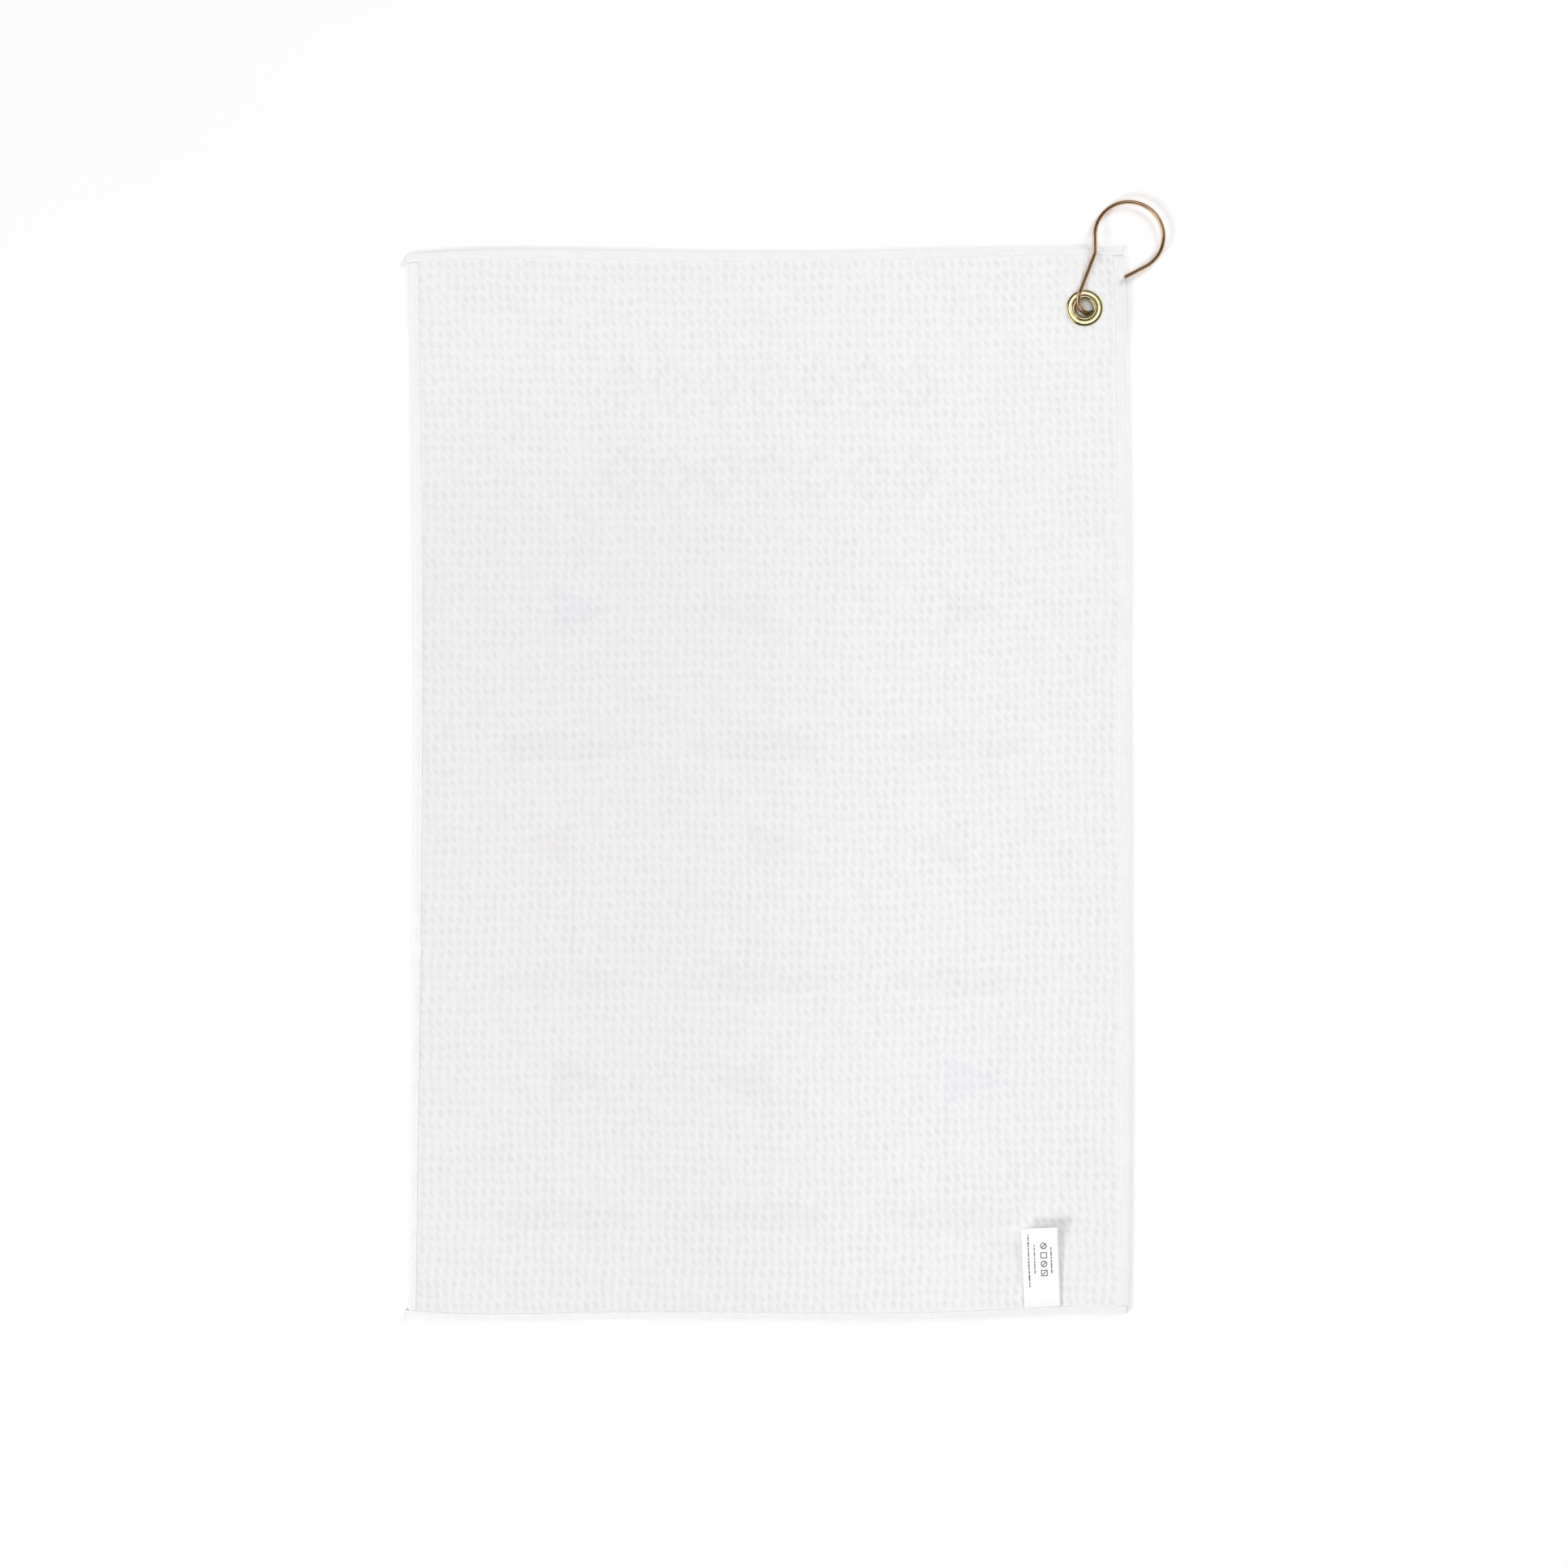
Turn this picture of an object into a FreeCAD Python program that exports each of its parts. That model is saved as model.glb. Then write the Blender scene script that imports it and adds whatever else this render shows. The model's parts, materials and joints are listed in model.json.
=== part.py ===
import FreeCAD, Part
import math
import os

# A waffle-weave golf towel, laid flat with its plain side up. Four narrow binding bands are sewn
# round its edge, a two-piece eyelet is set in the top right corner, and an open wire hook hangs in
# the eyelet. A care label is sewn above the bottom band. Millimetres. The origin is the centre of
# the towel's underside, on the surface it lies on: +X is right, +Y is towards the top, +Z is up.

V = FreeCAD.Vector
UP = V(0, 0, 1)

# Towel outline: each side sways a little, as cut and sewn cloth does
LEFT_SIDE = [(-300, -205.4), (-150, -203.5), (0, -201.9), (160, -202.2), (300, -204.5)]
RIGHT_SIDE = [(-300, 204.0), (-190, 205.5), (0, 205.0), (160, 204.6), (300, 202.2)]
TOP_SIDE = [(-204, 301.6), (-105, 303.9), (5, 302.5), (120, 305.0), (202, 305.6)]
BOTTOM_SIDE = [
    (-204, -303.9), (-140, -305.7), (-20, -304.8), (65, -305.2),
    (117, -304.0), (160, -301.9), (204, -301.4),
]
OVERRUN = 40.0

# Cloth and binding, heights above the towel's underside
CLOTH = 2.2
TUCK_LOW = 0.5
TUCK_HIGH = 1.9
BAND = 2.4
BAND_WIDTH = 4.2
RIGHT_BAND_WIDTH = 6.4
TUCK_INSET = 0.7
BAND_LEFT_END = -207.5
BAND_RIGHT_END = 201.6

# Sewing threads
THREAD = 0.5
THREAD_HIGH = 0.25
SEAM_INSET = 3.3
RIGHT_SEAM_INSET = 5.4
EDGE_LOW = 0.7
EDGE_HIGH = 1.7

# Eyelet: the cloth rises over it like a low hill
HOLE = V(179.3, 271.1, 0)
HILL_FOOT = 38.0
HILL_TOP = 11.0
HILL_RISE = 3.9
EYELET_R = 10.5
BORE_R = 4.76
EYELET_WALL = 0.5
PRESSED = HILL_RISE + 1.2
FLANGE_LOW = 2.95
CURL_R = 8.0
CURL_FOOT = 6.0
CURL_TOP = 7.0
WASHER_WALL = 0.5
CLOTH_HOLE_R = 6.3

# Hook: round wire, in the eyelet's own plan coordinates
WIRE_R = 1.2
LOOP_X = 25.4
LOOP_Y = 40.9
LOOP_R = 19.65
TAIL_ANGLE = 28.0
TAIL_LENGTH = 13.4
BEND_Y = 30.8
HOOK_HEIGHT = 9.3
LOOP_HEIGHT = 4.1
EYE_X = 2.0
EYE_Y = 3.0
UNDER_HEIGHT = 1.35

# Care label
LABEL_X = 155.6
LABEL_Y = -295.5
LABEL_WIDTH = 21.0
LABEL_LENGTH = 43.4
LABEL_WALL = 0.35
LABEL_GAP = 0.3
LABEL_LEAN = 2.7
LABEL_LIFT = 5.0


def save(name, shape):
    """Write one node and say how big it is."""
    shape.exportStep("parts/" + name + ".step")
    print(f"{name}: {len(shape.Solids)} solid, {shape.Volume:.1f} mm3, valid {shape.isValid()}")


def side_curve(side, inset, upright):
    """A towel side as a smooth curve, moved inwards, and run straight on past its corners."""
    first, last = side[0], side[-1]
    middle = sum(across for along, across in side)
    inward = -inset if middle > 0 else inset
    points = [(first[0] - OVERRUN, first[1])] + side + [(last[0] + OVERRUN, last[1])]
    if upright:
        places = [V(across + inward, along, 0) for along, across in points]
    else:
        places = [V(along, across + inward, 0) for along, across in points]
    curve = Part.BSplineCurve()
    curve.interpolate(places)
    return curve.toShape()


def strip(side_a, inset_a, side_b, inset_b, upright):
    """A tall prism over the plan between two side curves."""
    edge_a = side_curve(side_a, inset_a, upright)
    edge_b = side_curve(side_b, inset_b, upright)
    low = Part.makeLine(edge_a.Vertexes[0].Point, edge_b.Vertexes[0].Point)
    high = Part.makeLine(edge_a.Vertexes[-1].Point, edge_b.Vertexes[-1].Point)
    wire = Part.Wire([edge_a, high, edge_b.reversed(), low.reversed()])
    prism = Part.Face(wire).extrude(V(0, 0, 20))
    prism.translate(V(0, 0, -5))
    return prism


def panel_region(left, right, top, bottom):
    """The plan inside all four sides, each moved inwards by its own inset."""
    across = strip(LEFT_SIDE, left, RIGHT_SIDE, right, True)
    along = strip(BOTTOM_SIDE, bottom, TOP_SIDE, top, False)
    return across.common(along)


def rise(radius):
    """Height of the cloth's underside at a distance from the eyelet's axis."""
    part = (HILL_FOOT - radius) / (HILL_FOOT - HILL_TOP)
    part = min(1.0, max(0.0, part))
    return HILL_RISE * part * part * (3 - 2 * part)


def hill_curve(offset):
    """The hill's side, from its foot in to the level ring round the eyelet."""
    steps = 8
    radii = [HILL_FOOT + (HILL_TOP - HILL_FOOT) * i / steps for i in range(steps + 1)]
    curve = Part.BSplineCurve()
    curve.interpolate([V(radius, 0, rise(radius) + offset) for radius in radii])
    return curve.toShape()


def layer(low, high):
    """Everything between two heights above the cloth's underside, hill included."""
    slab = Part.makeBox(500, 720, high - low, V(-250, -360, low))
    core = Part.makeCylinder(HILL_FOOT, high - low, V(HOLE.x, HOLE.y, low), UP)
    under = hill_curve(low)
    over = hill_curve(high)
    top_low = V(HILL_TOP, 0, HILL_RISE + low)
    top_high = V(HILL_TOP, 0, HILL_RISE + high)
    edges = [
        under,
        Part.makeLine(top_low, V(0, 0, top_low.z)),
        Part.makeLine(V(0, 0, top_low.z), V(0, 0, top_high.z)),
        Part.makeLine(V(0, 0, top_high.z), top_high),
        over.reversed(),
        Part.makeLine(V(HILL_FOOT, 0, high), V(HILL_FOOT, 0, low)),
    ]
    hill = Part.Face(Part.Wire(edges)).revolve(V(0, 0, 0), UP, 360)
    hill.translate(HOLE)
    return slab.cut(core).fuse(hill).removeSplitter()


def profile_solid(edges):
    """A ring made by turning a closed profile of radius and height round the eyelet's axis."""
    ring = Part.Face(Part.Wire(edges)).revolve(V(0, 0, 0), UP, 360)
    ring.translate(HOLE)
    return ring


def line(a, b):
    """A straight edge between two (radius, height) points."""
    return Part.makeLine(V(a[0], 0, a[1]), V(b[0], 0, b[1]))


def arc(a, b, c):
    """An arc through three (radius, height) points."""
    return Part.Arc(V(a[0], 0, a[1]), V(b[0], 0, b[1]), V(c[0], 0, c[1])).toShape()


def towel_panel():
    """Waffle cloth, thinned where the bands grip it, pressed and pierced at the eyelet."""
    waffle = layer(0, CLOTH).common(
        panel_region(BAND_WIDTH, RIGHT_BAND_WIDTH, BAND_WIDTH, BAND_WIDTH))
    tuck = tuck_cloth()
    press = profile_solid([
        line((0, PRESSED), (EYELET_R + 0.3, PRESSED)),
        line((EYELET_R + 0.3, PRESSED), (EYELET_R + 1.8, PRESSED + 2)),
        line((EYELET_R + 1.8, PRESSED + 2), (0, PRESSED + 2)),
        line((0, PRESSED + 2), (0, PRESSED)),
    ])
    pierced = Part.makeCylinder(CLOTH_HOLE_R, 30, V(HOLE.x, HOLE.y, -10), UP)
    return waffle.fuse(tuck).cut(press).cut(pierced).removeSplitter()


def tuck_cloth():
    """The cloth's thin border inside the folded bands."""
    inset = TUCK_INSET
    return layer(TUCK_LOW, TUCK_HIGH).common(panel_region(inset, inset, inset, inset))


def cross_band(side, width):
    """The plan of the top or bottom band: it runs past the left side and stops short of the right."""
    inner = strip(side, 0, side, width, False)
    ends = Part.makeBox(BAND_RIGHT_END - BAND_LEFT_END, 720, 40, V(BAND_LEFT_END, -360, -10))
    return inner.common(ends)


def upright_band(side, width):
    """The plan of a side band, between the top and bottom bands."""
    inner = strip(side, 0, side, width, True)
    gap = strip(BOTTOM_SIDE, BAND_WIDTH, TOP_SIDE, BAND_WIDTH, False)
    return inner.common(gap)


def band(plan, cloth):
    """A folded band: full height, less the cloth border it grips."""
    return plan.common(layer(0, BAND)).cut(cloth).removeSplitter()


def top_thread(plan):
    """A seam thread lying on top of a band."""
    return plan.common(layer(BAND, BAND + THREAD_HIGH))


def edge_thread(plan):
    """The overlock thread that shows as a fine line along a band's outer fold."""
    return plan.common(layer(EDGE_LOW, EDGE_HIGH))


def cross_line(side, start, stop, short):
    """The plan of a thread along the top or bottom side, a little shorter than its band."""
    plan = strip(side, start, side, stop, False)
    length = BAND_RIGHT_END - BAND_LEFT_END - 2 * short
    return plan.common(Part.makeBox(length, 720, 40, V(BAND_LEFT_END + short, -360, -10)))


def upright_line(side, start, stop):
    """The plan of a thread along a side band."""
    plan = strip(side, start, side, stop, True)
    inset = BAND_WIDTH + 0.2
    return plan.common(strip(BOTTOM_SIDE, inset, TOP_SIDE, inset, False))


def grommet_eyelet():
    """The eyelet's smooth flange underneath, its barrel, and the end curled over on top."""
    inner = BORE_R
    outer = BORE_R + EYELET_WALL
    rim = HILL_RISE
    return profile_solid([
        arc((EYELET_R, rim - 0.15), (7.5, FLANGE_LOW), (inner, rim + 0.6)),
        line((inner, rim + 0.6), (inner, CURL_FOOT)),
        arc((inner, CURL_FOOT), (6.38, CURL_TOP), (CURL_R, CURL_FOOT)),
        line((CURL_R, CURL_FOOT), (CURL_R - EYELET_WALL, CURL_FOOT)),
        arc((CURL_R - EYELET_WALL, CURL_FOOT), (6.38, CURL_TOP - EYELET_WALL), (outer, CURL_FOOT)),
        line((outer, CURL_FOOT), (outer, rim + 0.6)),
        arc((outer, rim + 0.6), (7.6, FLANGE_LOW + EYELET_WALL), (EYELET_R - 0.4, rim)),
        line((EYELET_R - 0.4, rim), (EYELET_R, rim)),
        line((EYELET_R, rim), (EYELET_R, rim - 0.15)),
    ])


def grommet_washer():
    """The domed washer on top, held down by the eyelet's curled end."""
    inner = BORE_R + EYELET_WALL
    return profile_solid([
        line((EYELET_R - 0.5, PRESSED), (EYELET_R, PRESSED)),
        line((EYELET_R, PRESSED), (EYELET_R, PRESSED + 0.15)),
        arc((EYELET_R, PRESSED + 0.15), (9.8, PRESSED + 0.72), (8.6, CURL_FOOT)),
        line((8.6, CURL_FOOT), (inner, CURL_FOOT)),
        line((inner, CURL_FOOT), (inner, CURL_FOOT - WASHER_WALL)),
        line((inner, CURL_FOOT - WASHER_WALL), (8.5, CURL_FOOT - WASHER_WALL)),
        arc((8.5, CURL_FOOT - WASHER_WALL), (9.4, PRESSED + 0.3), (EYELET_R - 0.5, PRESSED)),
    ])


def hook_place(x, y):
    """A point of the hook's plane, which slopes down from the eyelet to the far side of the loop."""
    reach = math.hypot(LOOP_X, LOOP_Y)
    slope = (HOOK_HEIGHT - LOOP_HEIGHT) / (reach + LOOP_R)
    along = (x * LOOP_X + y * LOOP_Y) / reach
    return HOLE + V(x, y, HOOK_HEIGHT - slope * along)


def eye_place(angle, radius, height):
    """A point of the eye's turn, by its angle round the eye's centre."""
    turn = math.radians(angle)
    return HOLE + V(EYE_X + radius * math.cos(turn), EYE_Y + radius * math.sin(turn), height)


def rounded(points, radii):
    """Straight runs through the points with a tangent arc at each inner point."""
    edges = []
    start = points[0]
    for before, corner, after, radius in zip(points, points[1:], points[2:], radii):
        back = (before - corner).normalize()
        ahead = (after - corner).normalize()
        half = back.getAngle(ahead) / 2
        reach = radius / math.tan(half)
        middle = (back + ahead).normalize()
        centre = corner + middle * (radius / math.sin(half))
        enter = corner + back * reach
        leave = corner + ahead * reach
        edges.append(Part.makeLine(start, enter))
        edges.append(Part.Arc(enter, centre - middle * radius, leave).toShape())
        start = leave
    edges.append(Part.makeLine(start, points[-1]))
    return edges


def loop_point(angle):
    """A point of the hook's round loop."""
    turn = math.radians(angle)
    return hook_place(LOOP_X + LOOP_R * math.cos(turn), LOOP_Y + LOOP_R * math.sin(turn))


def hook_wire():
    """One bent wire: tail, round loop, shank, and an open eye that drops through the eyelet."""
    leave = TAIL_ANGLE - 90
    tail = math.radians(TAIL_ANGLE)
    tail_x = LOOP_X + LOOP_R * math.cos(math.radians(leave)) - TAIL_LENGTH * math.cos(tail)
    tail_y = LOOP_Y + LOOP_R * math.sin(math.radians(leave)) - TAIL_LENGTH * math.sin(tail)
    tip = hook_place(tail_x, tail_y)
    edges = [Part.makeLine(tip, loop_point(leave))]
    # The loop lies in the sloping plane, so its plan is a circle and its true shape a slight ellipse
    edges += loop_arcs(leave)
    turns = [
        loop_point(180),
        hook_place(LOOP_X - LOOP_R, BEND_Y),
        eye_place(139, 7.0, HOOK_HEIGHT - 0.3),
        eye_place(186, 5.8, 8.45),
        eye_place(222, 5.8, 5.45),
        eye_place(262, 5.9, 2.6),
        eye_place(306, 6.2, UNDER_HEIGHT),
        eye_place(350, 6.4, UNDER_HEIGHT),
        eye_place(394, 6.4, UNDER_HEIGHT),
        eye_place(438, 6.4, UNDER_HEIGHT),
        eye_place(478, 6.4, UNDER_HEIGHT),
    ]
    radii = [3.0, 5.0, 4.2, 5.0, 5.0, 5.0, 5.4, 5.8, 5.8]
    edges += rounded(turns, radii)
    path = Part.Wire(edges)
    section = Part.Wire(Part.makeCircle(WIRE_R, tip, loop_point(leave) - tip))
    rod = path.makePipeShell([section], True, True)
    print(f"hook wire length {path.Length:.1f}, section times length"
          f" {math.pi * WIRE_R ** 2 * path.Length:.1f}, rod {rod.Volume:.1f}")
    return rod


def loop_arcs(leave):
    """The loop as arcs through points of the sloping plane, tail side to shank side."""
    steps = 4
    angles = [leave + (180 - leave) * i / (2 * steps) for i in range(2 * steps + 1)]
    arcs = []
    for i in range(steps):
        start, middle, end = angles[2 * i], angles[2 * i + 1], angles[2 * i + 2]
        arcs.append(Part.Arc(loop_point(start), loop_point(middle), loop_point(end)).toShape())
    return arcs


def in_label_place(shape):
    """Lean a shape drawn at the label's seam, then move it to the seam's middle."""
    shape.rotate(V(0, 0, 0), UP, LABEL_LEAN)
    shape.translate(V(LABEL_X, LABEL_Y, CLOTH))
    return shape


def care_label():
    """A satin strip whose free end stands up off the cloth."""
    low = LABEL_GAP
    wall = LABEL_WALL
    half = LABEL_LENGTH / 2

    def place(along, height):
        return V(-LABEL_WIDTH / 2, along, height)

    under = Part.Arc(place(0, low), place(half, low + 0.32 * LABEL_LIFT),
                     place(LABEL_LENGTH, low + LABEL_LIFT)).toShape()
    over = Part.Arc(place(0, low + wall), place(half, low + wall + 0.32 * LABEL_LIFT),
                    place(LABEL_LENGTH, low + wall + LABEL_LIFT)).toShape()
    far = Part.makeLine(place(LABEL_LENGTH, low + LABEL_LIFT),
                        place(LABEL_LENGTH, low + wall + LABEL_LIFT))
    near = Part.makeLine(place(0, low + wall), place(0, low))
    face = Part.Face(Part.Wire([under, far, over.reversed(), near]))
    return in_label_place(face.extrude(V(LABEL_WIDTH, 0, 0)))


def label_stitches():
    """The row of thread that sews the label's end down, just below its hinge line."""
    width = LABEL_WIDTH - 1
    return in_label_place(Part.makeBox(width, THREAD, THREAD_HIGH, V(-width / 2, -1.2, 0)))


def main():
    os.makedirs("parts", exist_ok=True)
    save("towel_panel", towel_panel())
    cloth = tuck_cloth()
    save("binding_top", band(cross_band(TOP_SIDE, BAND_WIDTH), cloth))
    save("binding_bottom", band(cross_band(BOTTOM_SIDE, BAND_WIDTH), cloth))
    save("binding_left", band(upright_band(LEFT_SIDE, BAND_WIDTH), cloth))
    save("binding_right", band(upright_band(RIGHT_SIDE, RIGHT_BAND_WIDTH), cloth))
    near = SEAM_INSET
    right_near = RIGHT_SEAM_INSET
    save("seam_thread_top", top_thread(cross_line(TOP_SIDE, near, near + THREAD, 1.0)))
    save("seam_thread_bottom", top_thread(cross_line(BOTTOM_SIDE, near, near + THREAD, 1.0)))
    save("seam_thread_left", top_thread(upright_line(LEFT_SIDE, near, near + THREAD)))
    save("seam_thread_right",
         top_thread(upright_line(RIGHT_SIDE, right_near, right_near + THREAD)))
    save("edge_thread_top", edge_thread(cross_line(TOP_SIDE, -THREAD, 0, 0.2)))
    save("edge_thread_bottom", edge_thread(cross_line(BOTTOM_SIDE, -THREAD, 0, 0.2)))
    save("edge_thread_left", edge_thread(upright_line(LEFT_SIDE, -THREAD, 0)))
    save("edge_thread_right", edge_thread(upright_line(RIGHT_SIDE, -THREAD, 0)))
    save("grommet_eyelet", grommet_eyelet())
    save("grommet_washer", grommet_washer())
    save("hook_wire", hook_wire())
    save("care_label", care_label())
    save("label_stitches", label_stitches())


main()
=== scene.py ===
import json
import math
import random

import bpy
import numpy as np
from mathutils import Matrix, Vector


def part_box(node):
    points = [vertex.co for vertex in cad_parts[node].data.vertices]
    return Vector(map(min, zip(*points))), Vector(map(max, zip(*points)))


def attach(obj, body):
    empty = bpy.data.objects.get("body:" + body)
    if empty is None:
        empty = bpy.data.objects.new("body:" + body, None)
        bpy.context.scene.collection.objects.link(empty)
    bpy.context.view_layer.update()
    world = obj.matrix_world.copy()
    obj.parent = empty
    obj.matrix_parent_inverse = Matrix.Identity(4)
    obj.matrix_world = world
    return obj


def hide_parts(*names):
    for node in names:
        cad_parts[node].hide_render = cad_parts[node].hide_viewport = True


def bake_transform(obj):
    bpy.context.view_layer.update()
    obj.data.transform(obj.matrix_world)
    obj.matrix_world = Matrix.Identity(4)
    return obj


# A waffle-weave golf towel laid flat, plain side up, with bound edges, a brass eyelet, a copper
# wire hook and a care label. Metres. The cloth, bands, threads and label are built here around the
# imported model, and the eyelet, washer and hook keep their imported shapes.

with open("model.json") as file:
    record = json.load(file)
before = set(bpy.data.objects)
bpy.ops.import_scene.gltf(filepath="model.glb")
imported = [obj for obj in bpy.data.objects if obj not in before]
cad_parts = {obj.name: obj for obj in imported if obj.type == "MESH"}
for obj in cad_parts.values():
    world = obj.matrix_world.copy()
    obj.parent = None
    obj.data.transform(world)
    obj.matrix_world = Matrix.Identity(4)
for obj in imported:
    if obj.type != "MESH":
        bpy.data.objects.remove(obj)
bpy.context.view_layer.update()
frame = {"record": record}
random.seed(16)
noise_seed = np.random.default_rng(24)

TOWEL = "towel"
SIDES = ("top", "bottom", "left", "right")

# The towel's rough half sizes, and its sides as (along, across) points of the outer edge, joined
# by curves of this degree at most
HALF_WIDTH = 0.2
HALF_LENGTH = 0.3
SIDE_CURVE = 5
SIDE_POINTS = {
    "left": [(-0.300, -0.2054), (-0.150, -0.2035), (0.0, -0.2019), (0.160, -0.2022), (0.300, -0.2045)],
    "right": [(-0.300, 0.2040), (-0.190, 0.2055), (0.0, 0.2050), (0.160, 0.2046), (0.300, 0.2022)],
    "top": [(-0.204, 0.3016), (-0.105, 0.3039), (0.005, 0.3025), (0.120, 0.3050), (0.202, 0.3056)],
    "bottom": [(-0.204, -0.3039), (-0.140, -0.3057), (-0.020, -0.3048), (0.065, -0.3052),
               (0.117, -0.3040), (0.160, -0.3019), (0.204, -0.3014)],
}

# Bands folded over the edges. The bottom one wraps round the right corner.
BAND_WIDTH = {"top": 0.0042, "bottom": 0.0042, "left": 0.0042, "right": 0.0064}
BAND_RIBS = {"top": 2, "bottom": 2, "left": 2, "right": 5}
CORNER_WRAP = 0.0022
BAND_STEP = 0.0009
FOLD_INSET = 0.0008
FOLD_OUT = 0.0009
FOLD_IN = 0.0004

# Threads: the seam's stitches and the loops along the fold, each shape as (length, radius, sag)
SEAM_INSET = {"top": 0.0033, "bottom": 0.0033, "left": 0.0033, "right": 0.0054}
STITCH_PITCH = 0.0029
STITCH_SHAPE = (0.0024, 0.00022, 0.00018)
LOOP_PITCH = 0.00115
LOOP_SHAPE = (0.0017, 0.00034, 0.00004)
LOOP_TILT = math.radians(24)

# Heights above the cloth's underside
CLOTH = 0.0022
TUCK_LOW = 0.0005
TUCK_HIGH = 0.0019
BAND = 0.0024

# Waffle cells, the grid steps in each, and how far the cloth runs in under the bands
COLUMNS = 80
ROWS = 92
ACROSS_STEPS = 4
ALONG_STEPS = 5
UNDER_STEPS = 2
DIMPLE = 0.00110
PANEL_REACH = 0.0034
RIGHT_REACH = PANEL_REACH + 0.0022

# The low hill that the cloth makes over the eyelet, and the flatter cloth that the hook swings over
washer_low, washer_high = (Vector(corner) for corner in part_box("grommet_washer"))
HOLE = (washer_low + washer_high) / 2
EYELET_R = (washer_high.x - washer_low.x) / 2
HILL_FOOT = 0.038
HILL_TOP = 0.011
HILL_RISE = 0.0039
PRESSED = 0.0012
CLOTH_HOLE = 0.0075
HOOK_SWEEP = 0.13

# Care label
joints = {joint["name"]: joint for joint in frame["record"]["behaviour"]["joints"]}
LABEL_SEAM = Vector(joints["label_flip"]["pos_m"])
LABEL_AXIS = Vector(joints["label_flip"]["axis"]).normalized()
LABEL_WIDTH = 0.021
LABEL_LENGTH = 0.0434
LABEL_TAB = 0.0024
LABEL_LIFT = 0.0060
LABEL_WALL = 0.00026
LABEL_CALM = 0.013
LABEL_CALM_FADE = 0.03
LABEL_STITCHES = 11
LABEL_STITCH_PITCH = 0.0019
LABEL_STITCH_SHAPE = (0.0016, 0.00019, 0.00016)

# The label's print in millimetres: bars as (middle across, start, end, half thickness), then marks
LABEL_BARS = ((3.7, 9.3, 39.8, 0.42), (7.0, 17.0, 33.9, 0.36), (16.5, 16.6, 32.0, 0.42))
MARK_ACROSS = 12.3
MARKS_ALONG = (32.9, 27.4, 22.4, 17.2)
ROUND_MARKS = (0, 2)
STRUCK_MARKS = (0, 2, 3)

# The made-up print on the underside: a grid of flags
PRINT_COLUMN = 0.112
PRINT_ROW = 0.134
PRINT_MIDDLE_X = -0.006
PRINT_MIDDLE_Y = -0.066
PRINT_BLUE = (0.045, 0.13, 0.42, 1)
PRINT_RED = (0.52, 0.045, 0.05, 1)
PRINT_GREY = (0.16, 0.17, 0.19, 1)
PRINT_GREEN = (0.17, 0.26, 0.14, 1)
PRINT_PALE = (0.62, 0.64, 0.66, 1)

# Camera
VIEW_WIDTH = 0.8943
VIEW_MIDDLE = (0.0083, 0.0002)


# ---------------------------------------------------------------- geometry helpers

def smooth_side(points):
    """A smooth curve through a side's points, or close past them where there are many."""
    along, across = zip(*points)
    return np.polynomial.Polynomial.fit(along, across, min(SIDE_CURVE, len(points) - 1))


SIDE_FIT = {name: smooth_side(points) for name, points in SIDE_POINTS.items()}


def edge(name, along, inset=0.0):
    """Where a towel side is, across it, moved inwards by inset."""
    outward = 1 if name in ("top", "right") else -1
    return SIDE_FIT[name](along) - outward * inset


def smooth_step(x):
    """From 0 to 1 as x goes from 0 to 1, with a soft start and end."""
    x = np.clip(x, 0.0, 1.0)
    return x * x * (3 - 2 * x)


def hill(x, y):
    """How far the cloth's underside is lifted round the eyelet."""
    radius = np.hypot(x - HOLE.x, y - HOLE.y)
    return HILL_RISE * smooth_step((HILL_FOOT - radius) / (HILL_FOOT - HILL_TOP))


def sway(x, y):
    """Slow waves of cloth that was unfolded and laid down, never below the surface."""
    waves = np.sin(41 * x + 13 * y + 0.6) * np.sin(23 * y - 9 * x + 1.9)
    waves += 0.7 * np.sin(17 * x - 31 * y + 2.4)
    waves += 0.5 * np.sin(73 * x + 47 * y)
    return 0.00022 * (2.2 + waves)


def lift(x, y):
    """Height of the cloth's underside. It lies flatter under the hook's swing and by the label."""
    calm = smooth_step((np.hypot(x - HOLE.x, y - HOLE.y) - EYELET_R) / HOOK_SWEEP)
    by_label = smooth_step((np.hypot(x - LABEL_SEAM.x, y - LABEL_SEAM.y) - LABEL_CALM) / LABEL_CALM_FADE)
    return hill(x, y) + sway(x, y) * calm * by_label


def new_piece(name, points, faces, materials, body, face_materials=None):
    """A smooth mesh piece from arrays. It rides on a body when one is given."""
    mesh = bpy.data.meshes.new(name)
    mesh.from_pydata(points, [], faces)
    for material in materials:
        mesh.materials.append(material)
    if face_materials is not None:
        mesh.polygons.foreach_set("material_index", face_materials)
    mesh.polygons.foreach_set("use_smooth", [True] * len(mesh.polygons))
    mesh.update()
    piece = bpy.data.objects.new(name, mesh)
    bpy.context.scene.collection.objects.link(piece)
    if body:
        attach(piece, body)
    return piece


def grid_faces(rows, columns, start=0, flip=False):
    """Quads of a rows by columns grid of points."""
    row, column = np.meshgrid(np.arange(rows - 1), np.arange(columns - 1), indexing="ij")
    corner = (row * columns + column).ravel() + start
    quads = [corner, corner + 1, corner + columns + 1, corner + columns]
    if flip:
        quads.reverse()
    return np.stack(quads, axis=1)


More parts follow.
